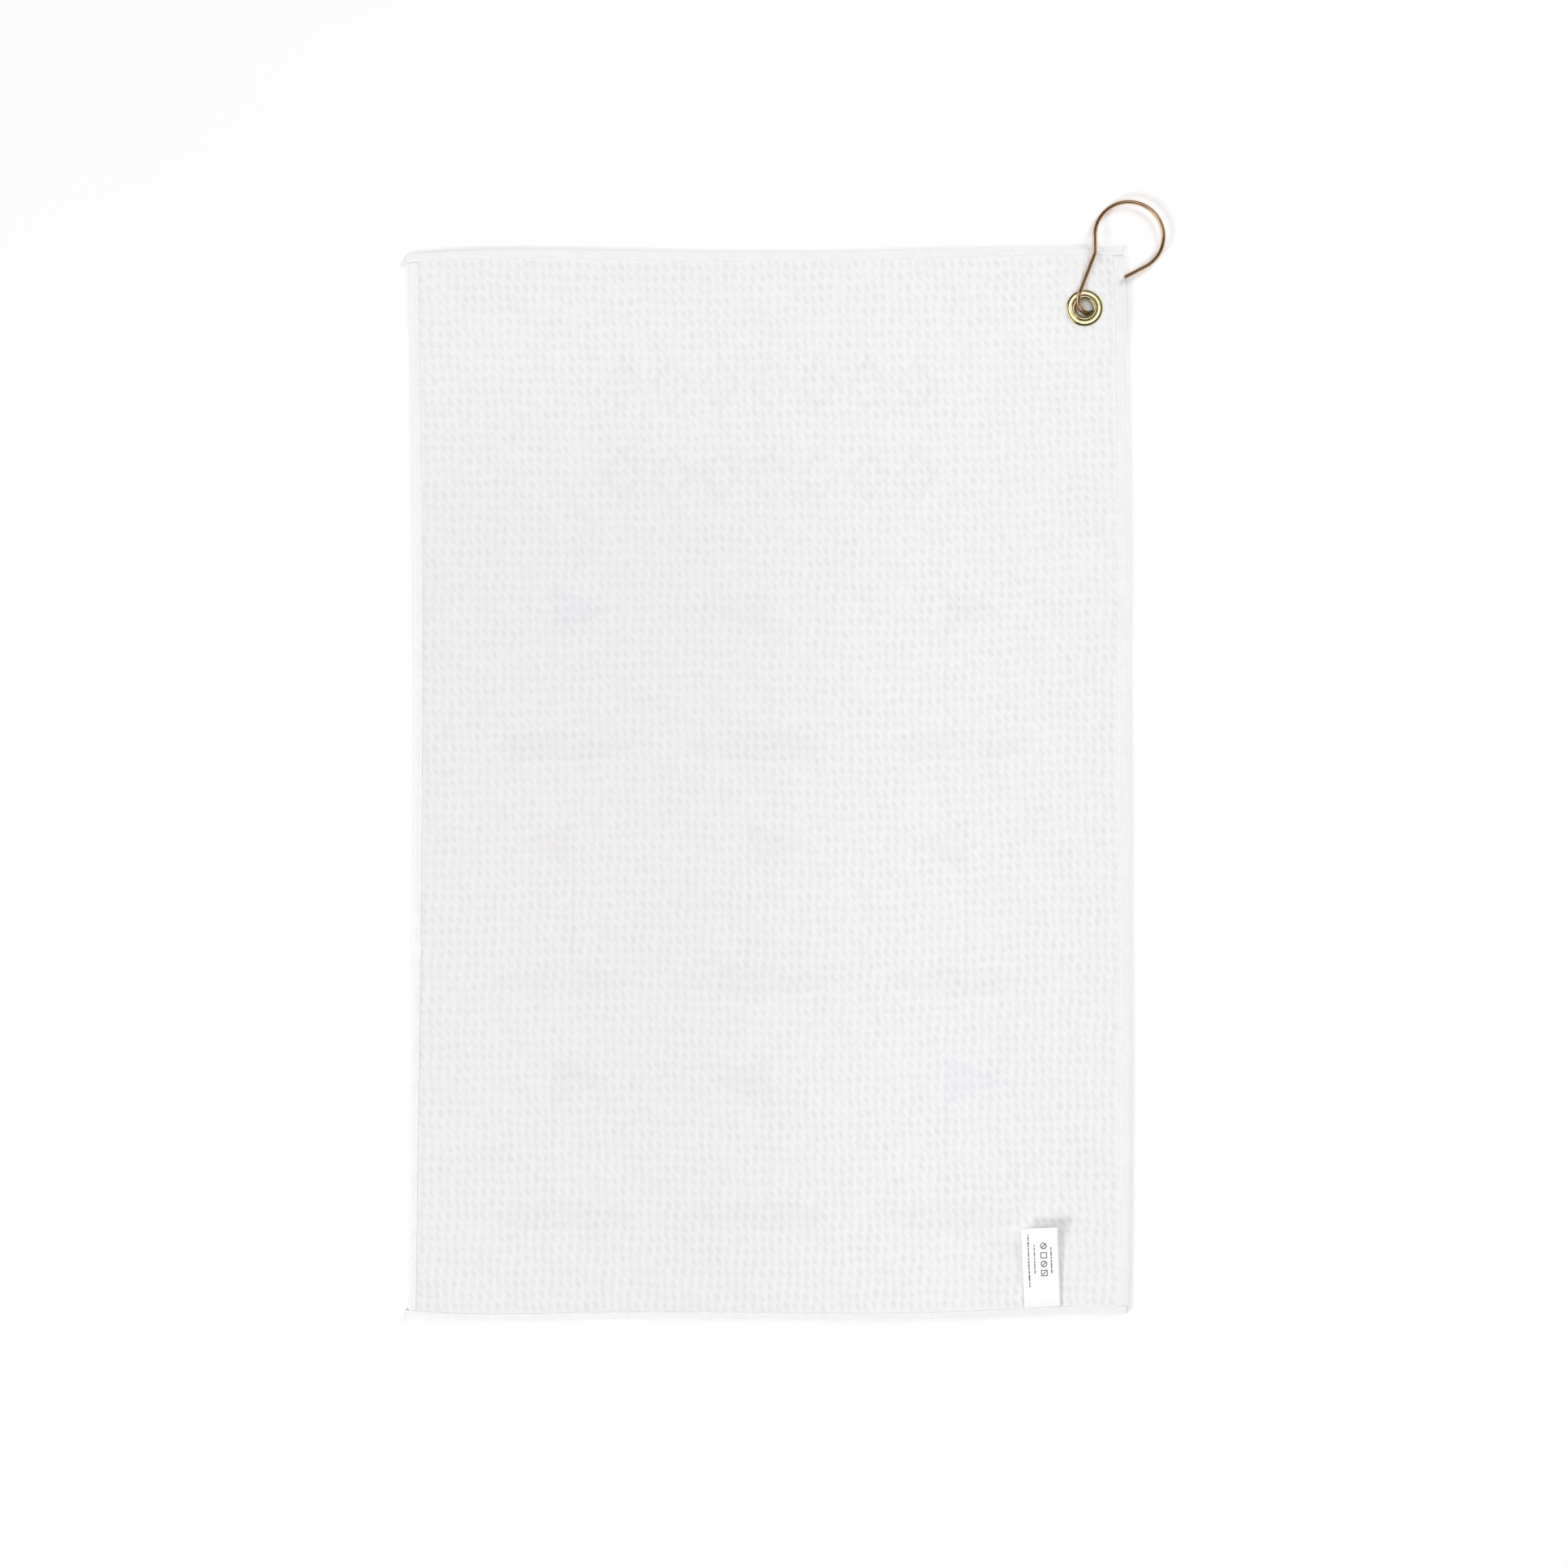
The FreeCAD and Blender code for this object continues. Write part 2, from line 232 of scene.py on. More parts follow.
def bridge(outer, inner, outer_place, inner_place):
    """Triangles between two closed rings of points, matched by their place round the ring."""
    faces = []
    i = j = 0
    while i < len(outer) or j < len(inner):
        a = outer_place[i] if i < len(outer) else 2.0
        b = inner_place[j] if j < len(inner) else 2.0
        here, there = outer[i % len(outer)], inner[j % len(inner)]
        if a <= b:
            faces.append((here, outer[(i + 1) % len(outer)], there))
            i += 1
        else:
            faces.append((here, inner[(j + 1) % len(inner)], there))
            j += 1
    return faces


# ---------------------------------------------------------------- waffle panel

def waffle(p, q):
    """Depth of the weave's dimples, from 0 on the ridges to 1, at cell coordinates p and q.

    Upright rows of dimples, each leaning to the left as it rises, so that they also line up aslant.
    """
    across, along = 2 * math.pi * (p - 0.5), 2 * math.pi * (q - 0.5)
    depth = 0.40 + 0.28 * np.cos(across) + 0.26 * np.cos(across + along)
    depth += 0.13 * np.cos(along) + 0.07 * np.cos(2 * across + along)
    return np.clip(depth, 0.0, 1.0)


def unevenness(p, q):
    """A slowly changing factor that makes some cells deeper than others."""
    knots = noise_seed.uniform(0.78, 1.24, (ROWS + 4, COLUMNS + 4))
    row, column = np.clip(q + 1, 0, ROWS + 2), np.clip(p + 1, 0, COLUMNS + 2)
    i, j = np.floor(row).astype(int), np.floor(column).astype(int)
    v, u = row - i, column - j
    low = knots[i, j] * (1 - u) + knots[i, j + 1] * u
    high = knots[i + 1, j] * (1 - u) + knots[i + 1, j + 1] * u
    return low * (1 - v) + high * v


def panel_axis(cells, steps, low_inset, high_inset):
    """Parameters of one grid direction: (share of the waffle area, distance outside it)."""
    count = cells * steps
    inside = [(i / count, 0.0) for i in range(count + 1)]
    low = [(0.0, -low_inset), (0.0, -0.0004)]
    high = [(1.0, 0.0004), (1.0, high_inset)]
    return np.array(low + inside + high)


def panel_plan(across, along):
    """Plan positions of a grid over the panel, following its swaying sides."""
    share_x, past_x = across[:, 0][None, :], across[:, 1][None, :]
    share_y, past_y = along[:, 0][:, None], along[:, 1][:, None]
    x = HALF_WIDTH * (2 * share_x - 1) + 0 * share_y
    y = HALF_LENGTH * (2 * share_y - 1) + 0 * share_x
    for _ in range(3):
        left = edge("left", y, BAND_WIDTH["left"])
        right = edge("right", y, BAND_WIDTH["right"])
        x = left + (right - left) * share_x + past_x
        bottom = edge("bottom", x, BAND_WIDTH["bottom"])
        top = edge("top", x, BAND_WIDTH["top"])
        y = bottom + (top - bottom) * share_y + past_y
    return x, y


def inside_bands(x, y):
    """Distance of a point inside the nearest band's inner edge."""
    return np.minimum.reduce([
        x - edge("left", y, BAND_WIDTH["left"]),
        edge("right", y, BAND_WIDTH["right"]) - x,
        y - edge("bottom", x, BAND_WIDTH["bottom"]),
        edge("top", x, BAND_WIDTH["top"]) - y,
    ])


def clear_of_bands(inside):
    """0 where the bands squeeze the cloth, 1 from a millimetre inside their inner edges."""
    return smooth_step((inside + 0.0003) / 0.0015)


def pressed_down(x, y, top):
    """The cloth's top, squeezed flat under the washer and puffed up just outside it."""
    radius = np.hypot(x - HOLE.x, y - HOLE.y)
    under = smooth_step((EYELET_R + 0.0022 - radius) / 0.002)
    puff = np.exp(-((radius - EYELET_R - 0.0035) / 0.0018) ** 2)
    return top * (1 - under) + (HILL_RISE + PRESSED - 0.00005) * under + 0.00025 * puff


def top_surface():
    """Plan and height of the waffle side."""
    across = panel_axis(COLUMNS, ACROSS_STEPS, PANEL_REACH, RIGHT_REACH)
    along = panel_axis(ROWS, ALONG_STEPS, PANEL_REACH, PANEL_REACH)
    x, y = panel_plan(across, along)
    inside = inside_bands(x, y)
    p = across[:, 0][None, :] * COLUMNS + 0 * y
    q = along[:, 0][:, None] * ROWS + 0 * x
    # Rows and columns wander a little, and no two cells are quite as deep
    p = p + 0.16 * np.sin(31 * y + 5 * x) + 0.11 * np.sin(213 * y + 140 * x)
    q = q + 0.16 * np.sin(27 * x - 8 * y) + 0.11 * np.sin(231 * x + 122 * y)
    dimples = waffle(p, q) * unevenness(p, q) * smooth_step(inside / 0.0012)
    flat = TUCK_HIGH + (CLOTH - TUCK_HIGH) * clear_of_bands(inside)
    top = flat + lift(x, y) - DIMPLE * dimples
    return x, y, pressed_down(x, y, top), dimples


def under_surface():
    """Plan and height of the printed side, on a coarser grid."""
    across = panel_axis(COLUMNS, UNDER_STEPS, PANEL_REACH, RIGHT_REACH)
    along = panel_axis(ROWS, UNDER_STEPS, PANEL_REACH, PANEL_REACH)
    x, y = panel_plan(across, along)
    inside = inside_bands(x, y)
    return x, y, lift(x, y) + TUCK_LOW * (1 - clear_of_bands(inside))


def open_hole(points, faces):
    """Take out the faces over the eyelet's bore, round off the gap, and give its ring of points."""
    radius = np.hypot(points[:, 0] - HOLE.x, points[:, 1] - HOLE.y)
    kept = faces[(radius[faces] > CLOTH_HOLE).all(axis=1)]
    sides = np.concatenate([kept[:, [i, (i + 1) % 4]] for i in range(4)])
    sides.sort(axis=1)
    distinct, uses = np.unique(sides, axis=0, return_counts=True)
    rim = np.unique(distinct[uses == 1])
    rim = rim[radius[rim] < 0.02]
    angle = np.arctan2(points[rim, 1] - HOLE.y, points[rim, 0] - HOLE.x)
    rim = rim[np.argsort(angle)]
    angle = np.sort(angle)
    points[rim, 0] = HOLE.x + CLOTH_HOLE * np.cos(angle)
    points[rim, 1] = HOLE.y + CLOTH_HOLE * np.sin(angle)
    return kept, rim, (angle + math.pi) / (2 * math.pi)


def border(rows, columns, start):
    """Indices round a grid's border, and each one's place round it from 0 to 1."""
    ring = [(0, c) for c in range(columns - 1)] + [(r, columns - 1) for r in range(rows - 1)]
    ring += [(rows - 1, c) for c in range(columns - 1, 0, -1)]
    ring += [(r, 0) for r in range(rows - 1, 0, -1)]
    return [start + r * columns + c for r, c in ring]


def ring_places(points, ring):
    """Each ring point's place round the towel, by its angle from the middle."""
    x, y = points[ring, 0] / HALF_WIDTH, points[ring, 1] / HALF_LENGTH
    square = np.maximum(np.abs(x), np.abs(y))
    x, y = x / square, y / square
    angle = np.arctan2(y, x)
    turn = (angle - angle[0]) / (2 * math.pi)
    return np.where(turn < -1e-9, turn + 1, turn)


def waffle_panel(materials):
    """The whole cloth: waffle side, printed side, and the rims that join them."""
    x, y, z, dimples = top_surface()
    ux, uy, uz = under_surface()
    top = np.stack([x.ravel(), y.ravel(), z.ravel()], axis=1)
    under = np.stack([ux.ravel(), uy.ravel(), uz.ravel()], axis=1)
    top_faces = grid_faces(*x.shape)
    under_faces = grid_faces(*ux.shape, start=len(top), flip=True)
    points = np.concatenate([top, under])
    # The underside's gap is found on its own numbering, then moved along
    kept_top, rim_top, place_top = open_hole(points[:len(top)], top_faces)
    kept_under, rim_under, place_under = open_hole(points[len(top):], under_faces - len(top))
    faces = kept_top.tolist() + (kept_under + len(top)).tolist()
    ring_top = border(*x.shape, 0)
    ring_under = border(*ux.shape, len(top))
    rims = bridge(ring_under, ring_top, ring_places(points, ring_under), ring_places(points, ring_top))
    rims += bridge(rim_top.tolist(), (rim_under + len(top)).tolist(), place_top, place_under)
    slots = [0] * len(kept_top) + [1] * len(kept_under) + [0] * len(rims)
    values = np.zeros(len(points))
    values[:len(top)] = dimples.ravel()
    # Points over the bore are in no face any more, so they go
    used = np.zeros(len(points), dtype=bool)
    for face in faces + rims:
        used[list(face)] = True
    number = np.cumsum(used) - 1
    faces = [tuple(number[list(face)]) for face in faces + rims]
    piece = new_piece("waffle_cloth", points[used].tolist(), faces, materials, TOWEL, slots)
    # The dimples' depth, which the cloth's colour also uses for its painted shade
    depth = piece.data.attributes.new("dimple", "FLOAT", "POINT")
    depth.data.foreach_set("value", values[used])
    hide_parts("towel_panel")
    return piece


# ---------------------------------------------------------------- bands and threads

def side_point(name, along, inset, height):
    """A point on a band: along the towel's side, inwards from its edge, above the cloth's underside."""
    across = edge(name, along, inset)
    if name in ("top", "bottom"):
        x, y = along, across
    else:
        x, y = across, along
    return x, y, lift(x, y) + height


def side_span(name):
    """Where a side's packed band starts and ends."""
    low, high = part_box("binding_" + name)
    axis = 0 if name in ("top", "bottom") else 1
    return low[axis], high[axis]


def band_section(name):
    """A folded strip's cut edge: its outer skin and its inner skin, as (inset, height) pairs."""
    width = BAND_WIDTH[name]
    outer, inner = [], []
    for i in range(15):
        inset = width + (FOLD_INSET - width) * i / 14
        rib = 0.00005 * math.cos(2 * math.pi * BAND_RIBS[name] * inset / width)
        droop = 0.00012 * max(0.0, 1 - (width - inset) / 0.0007)
        outer.append((inset, BAND + rib - droop))
        inner.append((inset, TUCK_HIGH + 0.00004))
    for i in range(1, 8):
        turn = math.pi / 2 - math.pi * i / 8
        outer.append((FOLD_INSET - FOLD_OUT * math.cos(turn), BAND / 2 + BAND / 2 * math.sin(turn)))
        inner.append((FOLD_INSET - FOLD_IN * math.cos(turn), BAND / 2 + 0.0007 * math.sin(turn)))
    for i in range(6):
        inset = FOLD_INSET + (width - FOLD_INSET) * i / 5
        outer.append((inset, 0.00002))
        inner.append((inset, TUCK_LOW - 0.00004))
    return outer, inner


def band_piece(name, material):
    """One binding band, a strip folded over the cloth's edge and puckered by its stitches."""
    start, stop = side_span(name)
    if name == "bottom":
        stop += CORNER_WRAP
    count = int((stop - start) / BAND_STEP)
    places = np.linspace(start, stop, count)
    outer, inner = band_section(name)
    section = outer + inner[::-1]
    tug = noise_seed.normal(0, 1, count)
    tug = np.convolve(tug, np.ones(9) / 9, mode="same")
    rows = []
    for inset, height in section:
        pucker = 0.00009 * np.cos(2 * math.pi * places / STITCH_PITCH)
        pucker *= math.exp(-((inset - SEAM_INSET[name]) / 0.0009) ** 2) * (height > BAND * 0.9)
        scallop = 0.00010 * np.cos(2 * math.pi * places / LOOP_PITCH) * (inset < FOLD_INSET)
        x, y, z = side_point(name, places, inset + scallop + 0.00016 * tug, height - abs(pucker))
        rows.append(np.stack([x, y, z], axis=1))
    points = np.concatenate(rows)
    size = len(section)
    steps = np.arange(count - 1)
    faces = []
    for i in range(size):
        here, there = i * count, ((i + 1) % size) * count
        faces.append(np.stack([here + steps, here + steps + 1, there + steps + 1, there + steps], axis=1))
    faces = np.concatenate(faces)
    flip = name in ("top", "left")
    if flip:
        faces = faces[:, ::-1]
    half = len(outer)
    caps = []
    for end in (0, count - 1):
        for i in range(half - 1):
            quad = [i * count + end, (i + 1) * count + end,
                    (size - 2 - i) * count + end, (size - 1 - i) * count + end]
            caps.append(quad if (end == 0) != flip else quad[::-1])
    piece = new_piece("band_" + name, points.tolist(), faces.tolist() + caps, [material], TOWEL)
    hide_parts("binding_" + name)
    return piece


def stitch_shape(length, radius, sag):
    """One visible stitch: a plump thread that dives into the cloth at both ends."""
    sides, rings = 6, 7
    points = []
    for i in range(rings):
        t = -1 + 2 * i / (rings - 1)
        thick = radius * (1 - 0.75 * t ** 4)
        for j in range(sides):
            turn = 2 * math.pi * (j + 0.5) / sides
            points.append((t * length / 2, thick * math.cos(turn), thick * math.sin(turn) - sag * t * t))
    faces = []
    for i in range(rings - 1):
        for j in range(sides):
            a, b = i * sides + j, i * sides + (j + 1) % sides
            faces.append((a, b, b + sides, a + sides))
    faces.append(tuple(reversed(range(sides))))
    faces.append(tuple(range((rings - 1) * sides, rings * sides)))
    return np.array(points), faces


def stitch_row(name, places, directions, shape, material, node, body=TOWEL):
    """A run of stitches as one piece: each is turned to its direction and set at its place."""
    base, base_faces = shape
    points, faces = [], []
    for place, direction in zip(places, directions):
        c, s = math.cos(direction), math.sin(direction)
        size = random.uniform(0.93, 1.07)
        x = base[:, 0] * c * size - base[:, 1] * s
        y = base[:, 0] * s * size + base[:, 1] * c
        first = len(points) * len(base)
        points.append(np.stack([x + place[0], y + place[1], base[:, 2] + place[2]], axis=1))
        faces += [tuple(first + i for i in face) for face in base_faces]
    piece = new_piece(name, np.concatenate(points).tolist(), faces, [material], body)
    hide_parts(node)
    return piece


def side_row(name, pitch, inset, height, tilt, margin):
    """Evenly spaced places along a side, each with the side's direction there, turned by tilt."""
    start, stop = side_span(name)
    count = int((stop - start - 2 * margin) / pitch)
    places, directions = [], []
    for i in range(count):
        along = start + margin + pitch * (i + 0.5) + random.uniform(-0.05, 0.05) * pitch
        shift = random.uniform(-0.04, 0.04) * 0.001
        here = side_point(name, along, inset + shift, height)
        ahead = side_point(name, along + 0.002, inset + shift, height)
        places.append(here)
        directions.append(math.atan2(ahead[1] - here[1], ahead[0] - here[0]) + tilt)
    return places, directions


def side_threads(name, material):
    """The seam's stitches and the looped thread along the fold of one side."""
    seam = side_row(name, STITCH_PITCH, SEAM_INSET[name], BAND + 0.00008, 0.0, 0.002)
    stitch = stitch_shape(*STITCH_SHAPE)
    seam_piece = stitch_row("stitches_" + name, *seam, stitch, material, "seam_thread_" + name)
    loops = side_row(name, LOOP_PITCH, 0.00002, BAND - 0.0005, LOOP_TILT, 0.0004)
    bead = stitch_shape(*LOOP_SHAPE)
    edge_piece = stitch_row("loops_" + name, *loops, bead, material, "edge_thread_" + name)
    return [seam_piece, edge_piece]


# ---------------------------------------------------------------- care label

def label_frame_point(across, along, height):
    """From the label's own plan, measured from the middle of its seam, to the towel's frame."""
    ahead = Vector((-LABEL_AXIS.y, LABEL_AXIS.x, 0))
    place = LABEL_SEAM + LABEL_AXIS * across + ahead * along
    return place.x, place.y, place.z + height


def label_height(across, along):
    """How high the ribbon stands over its seam: it lies at the tab and curls up to its free end."""
    share = along / LABEL_LENGTH
    if share < 0:
        return -0.00038 * min(1.0, -along / 0.0012)
    twist = 0.0010 * share * share * (across / LABEL_WIDTH)
    wave = 0.00035 * math.sin(2.6 * share * math.pi) * share
    bow = -0.0004 * share * (2 * across / LABEL_WIDTH) ** 2
    return LABEL_LIFT * (0.28 * share + 0.72 * share * share) + twist + wave + bow


def care_label(material):
    """A satin ribbon, fixed by its tab and free at the other end, with two layers of skin."""
    columns, rows = 17, 61
    middle = (columns - 1) / 2
    points, places = [], []
    for skin in (LABEL_WALL / 2, -LABEL_WALL / 2):
        for i in range(rows):
            along = -LABEL_TAB + (LABEL_LENGTH + LABEL_TAB) * i / (rows - 1)
            for j in range(columns):
                across = LABEL_WIDTH * (j / (columns - 1) - 0.5)
                selvedge = 0.00006 * (abs(j - middle) > middle - 1)
                height = label_height(across, along) + skin * (1 - selvedge / LABEL_WALL)
                points.append(label_frame_point(across, along, height))
                places.append((j / (columns - 1), i / (rows - 1)))
    layer = columns * rows
    faces = grid_faces(rows, columns).tolist() + grid_faces(rows, columns, layer, flip=True).tolist()
    ring = border(rows, columns, 0)
    for here, there in zip(ring, ring[1:] + ring[:1]):
        faces.append((there, here, here + layer, there + layer))
    piece = new_piece("satin_label", points, faces, [material], None)
    uv = piece.data.uv_layers.new(name="ribbon")
    for loop in piece.data.loops:
        uv.data[loop.index].uv = places[loop.vertex_index]
    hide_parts("care_label")
    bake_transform(piece)
    return piece


def label_thread(material):
    """The row of stitches that holds the label's tab, just above the bottom band."""
    shape = stitch_shape(*LABEL_STITCH_SHAPE)
    directions = [math.atan2(LABEL_AXIS.y, LABEL_AXIS.x)] * LABEL_STITCHES
    places = []
    for i in range(LABEL_STITCHES):
        across = LABEL_STITCH_PITCH * (i - (LABEL_STITCHES - 1) / 2)
        places.append(label_frame_point(across, -0.0009, -0.00012))
    return stitch_row("label_stitch_row", places, directions, shape, material, "label_stitches")


# ---------------------------------------------------------------- materials

class Graph:
    """A small helper that builds one material's nodes."""

    def __init__(self, name):
        self.material = bpy.data.materials.new(name)
        self.material.use_nodes = True
        self.tree = self.material.node_tree
        self.shader = self.tree.nodes["Principled BSDF"]

    def set(self, **values):
        for socket, value in values.items():
            self.plug(value, self.shader.inputs[socket.replace("_", " ")])

    def plug(self, value, socket):
        if isinstance(value, bpy.types.NodeSocket):
            self.tree.links.new(value, socket)
        else:
            socket.default_value = value

    def node(self, kind, output=0, inputs=None, **settings):
        node = self.tree.nodes.new("ShaderNode" + kind)
        for key, value in settings.items():
            setattr(node, key, value)
        for key, value in (inputs or {}).items():
            self.plug(value, node.inputs[key])
        return node.outputs[output]

    def math(self, operation, a, b=0.0, c=0.0, clamp=False):
        return self.node("Math", operation=operation, use_clamp=clamp, inputs={0: a, 1: b, 2: c})

    def mix(self, share, low, high, blend_type="MIX"):
        return self.node("Mix", 2, data_type="RGBA", blend_type=blend_type,
                         inputs={0: share, 6: low, 7: high})

    def split(self, vector):
        node = self.tree.nodes.new("ShaderNodeSeparateXYZ")
        self.plug(vector, node.inputs[0])
        return node.outputs

    def noise(self, vector, scale, detail=2.0, roughness=0.5):
        return self.node("TexNoise", 0, inputs={
            "Vector": vector, "Scale": scale, "Detail": detail, "Roughness": roughness})

    def ramp(self, value, low, high, out_low=0.0, out_high=1.0):
        return self.node("MapRange", 0, interpolation_type="SMOOTHSTEP", inputs={
            0: value, 1: low, 2: high, 3: out_low, 4: out_high})

    def bump(self, height, strength, distance):
        return self.node("Bump", 0, inputs={"Height": height, "Strength": strength, "Distance": distance})


def inside_oval(g, x, y, across, up, soft):
    """1 inside an oval about the origin, 0 outside."""
    reach = g.math("POWER", g.math("DIVIDE", x, across), 2.0)
    reach = g.math("ADD", reach, g.math("POWER", g.math("DIVIDE", y, up), 2.0))
    return g.ramp(reach, 1.0 + soft, 1.0 - soft)


def inside_box(g, x, y, across, up, soft):
    """1 inside a box about the origin, 0 outside."""
    side = g.ramp(g.math("ABSOLUTE", x), across + soft, across - soft)
    level = g.ramp(g.math("ABSOLUTE", y), up + soft, up - soft)
    return g.math("MULTIPLY", side, level)


def printed_flags(g, x, y):
    """Nine flags on greens, a ball beside each, that take turns in colour and in which way they fly."""
    u = g.math("DIVIDE", g.math("SUBTRACT", x, PRINT_MIDDLE_X), PRINT_COLUMN)
    v = g.math("DIVIDE", g.math("SUBTRACT", y, PRINT_MIDDLE_Y), PRINT_ROW)
    column = g.math("ROUND", u)
    row = g.math("ROUND", v)
    odd = g.math("MODULO", g.math("ADD", g.math("ADD", column, row), 6.0), 2.0)
    turn = g.math("SUBTRACT", 1.0, g.math("MULTIPLY", odd, 2.0))
    across = g.math("MULTIPLY", g.math("MULTIPLY", g.math("SUBTRACT", u, column), PRINT_COLUMN), turn)
    up = g.math("MULTIPLY", g.math("SUBTRACT", v, row), PRINT_ROW)
    soft = 0.0006
    green = inside_oval(g, across, g.math("ADD", up, 0.046), 0.040, 0.0085, 0.06)
    past_pole = g.math("ADD", across, 0.006)
    pole = inside_box(g, past_pole, up, 0.0011, 0.045, soft)
    drop = g.math("ABSOLUTE", g.math("SUBTRACT", up, 0.031))
    slope = g.math("SUBTRACT", 0.0145, g.math("MULTIPLY", past_pole, 0.42))
    pennant = g.math("MULTIPLY", g.ramp(g.math("SUBTRACT", slope, drop), -soft, soft),
                     g.ramp(past_pole, 0.0, 0.001))
    ball = inside_oval(g, g.math("SUBTRACT", across, 0.021), g.math("ADD", up, 0.0375), 0.0062, 0.0062, 0.08)
    ink = g.mix(odd, PRINT_BLUE, PRINT_RED)
    ink = g.mix(g.math("COMPARE", column, row, 0.25), ink, PRINT_GREY)
    colour = g.mix(green, (1, 1, 1, 1), PRINT_GREEN)
    colour = g.mix(pole, colour, PRINT_GREY)
    colour = g.mix(pennant, colour, ink)
    colour = g.mix(ball, colour, PRINT_PALE)
    shape = g.math("MAXIMUM", g.math("MAXIMUM", green, pole), g.math("MAXIMUM", pennant, ball))
    in_grid = g.math("MULTIPLY", g.ramp(g.math("ABSOLUTE", u), 1.5, 1.49),
                     g.ramp(g.math("ABSOLUTE", v), 1.5, 1.49))
    return colour, g.math("MULTIPLY", shape, in_grid)


def printed_diamonds(g, x, y):
    """Where two rows of diamonds are, above the flags."""
    pitch, rows_apart, middle = 0.028, 0.052, 0.202
    from_row = g.math("SUBTRACT", g.math("ABSOLUTE", g.math("SUBTRACT", y, middle)), rows_apart / 2)
    step = g.math("DIVIDE", x, pitch)
    near = g.math("MULTIPLY", g.math("ABSOLUTE", g.math("SUBTRACT", step, g.math("ROUND", step))), pitch)
    spread = g.math("ADD", g.math("MULTIPLY", near, 1.35), g.math("ABSOLUTE", from_row))
    diamond = g.ramp(spread, 0.0178, 0.0166)
    hollow = g.ramp(spread, 0.0108, 0.0098)
    outline = g.math("SUBTRACT", diamond, g.math("MULTIPLY", hollow, 0.6))
    return g.math("MULTIPLY", outline, g.ramp(g.math("ABSOLUTE", x), 0.0985, 0.0975))


def printed_picture(g, x, y):
    """The made-up print: its colour, and how much ink covers the cloth."""
    colour, cover = printed_flags(g, x, y)
    diamonds = printed_diamonds(g, x, y)
    return g.mix(diamonds, colour, PRINT_GREY), g.math("MAXIMUM", cover, diamonds, clamp=True)


def cloth_material(name, ink):
    """Fluffy white waffle microfibre. ink is how much of the print shows."""
    g = Graph(name)
    place = g.node("TexCoord", 3)
    x, y, _ = g.split(place)
    colour, cover = printed_picture(g, x, y)
    fluff = g.noise(place, 900.0, 4.0, 0.6)
    yarn = g.noise(place, 310.0, 3.0, 0.55)
    patch = g.noise(place, 14.0, 3.0, 0.5)
    cool = g.ramp(g.math("ADD", x, g.math("MULTIPLY", patch, 0.03)), -0.06, 0.12)
    base = g.mix(cool, (0.770, 0.771, 0.774, 1), (0.822, 0.823, 0.834, 1))
    base = g.mix(g.math("MULTIPLY", g.ramp(y, 0.12, 0.26), 0.6), base, (0.842, 0.843, 0.847, 1))
    base = g.mix(g.math("MULTIPLY", g.ramp(fluff, 0.35, 0.75), 0.07), base, (0.62, 0.62, 0.64, 1))
    # Painted shade: the colour is darkened in the weave's dimples by their depth, more strongly in some
    # patches than in others.
    dimple = g.node("Attribute", 2, attribute_name="dimple")
    dimple_shade_noise = g.noise(place, 230.0, 2.0, 0.5)
    hollow = g.math("MULTIPLY", dimple, g.ramp(dimple_shade_noise, 0.3, 0.7, 0.22, 0.42))
    base = g.mix(hollow, base, (0.54, 0.54, 0.555, 1))
    base = g.mix(g.ramp(yarn, 0.45, 0.70, 0.0, 0.14), base, (0.66, 0.66, 0.69, 1))
    wear = g.math("MULTIPLY", cover, g.ramp(yarn, 0.2, 0.6, 0.7, 1.0))
    base = g.mix(g.math("MULTIPLY", wear, ink), base, colour)
    pile = g.math("ADD", g.math("MULTIPLY", fluff, 0.5), g.math("MULTIPLY", yarn, 0.5))
    normal = g.bump(pile, 0.35, 0.0004)
    g.set(Base_Color=base, Roughness=g.ramp(yarn, 0.2, 0.8, 0.86, 0.98), Normal=normal)
    g.set(Sheen_Weight=0.35, Sheen_Roughness=0.55, Specular_IOR_Level=0.2)
    return g.material


def binding_material():
    """Smooth, closely woven tape with a fine rib."""
    g = Graph("binding_tape")
    place = g.node("TexCoord", 3)
    x, y, _ = g.split(place)
    rib = g.math("SINE", g.math("MULTIPLY", g.math("ADD", x, y), 9000.0))
    cross = g.math("SINE", g.math("MULTIPLY", g.math("SUBTRACT", x, y), 9000.0))
    weave = g.math("MULTIPLY", g.math("ADD", g.math("MULTIPLY", rib, cross), 1.0), 0.5)
    slub = g.noise(place, 160.0, 3.0, 0.6)
    base = g.mix(g.ramp(slub, 0.3, 0.7), (0.790, 0.792, 0.798, 1), (0.822, 0.824, 0.830, 1))
    base = g.mix(g.math("MULTIPLY", weave, 0.08), base, (0.66, 0.66, 0.69, 1))
    normal = g.bump(g.math("ADD", weave, g.math("MULTIPLY", slub, 0.8)), 0.25, 0.0002)
    g.set(Base_Color=base, Roughness=g.ramp(slub, 0.2, 0.8, 0.72, 0.88), Normal=normal)
    g.set(Sheen_Weight=0.25, Sheen_Roughness=0.5, Specular_IOR_Level=0.25)
    return g.material


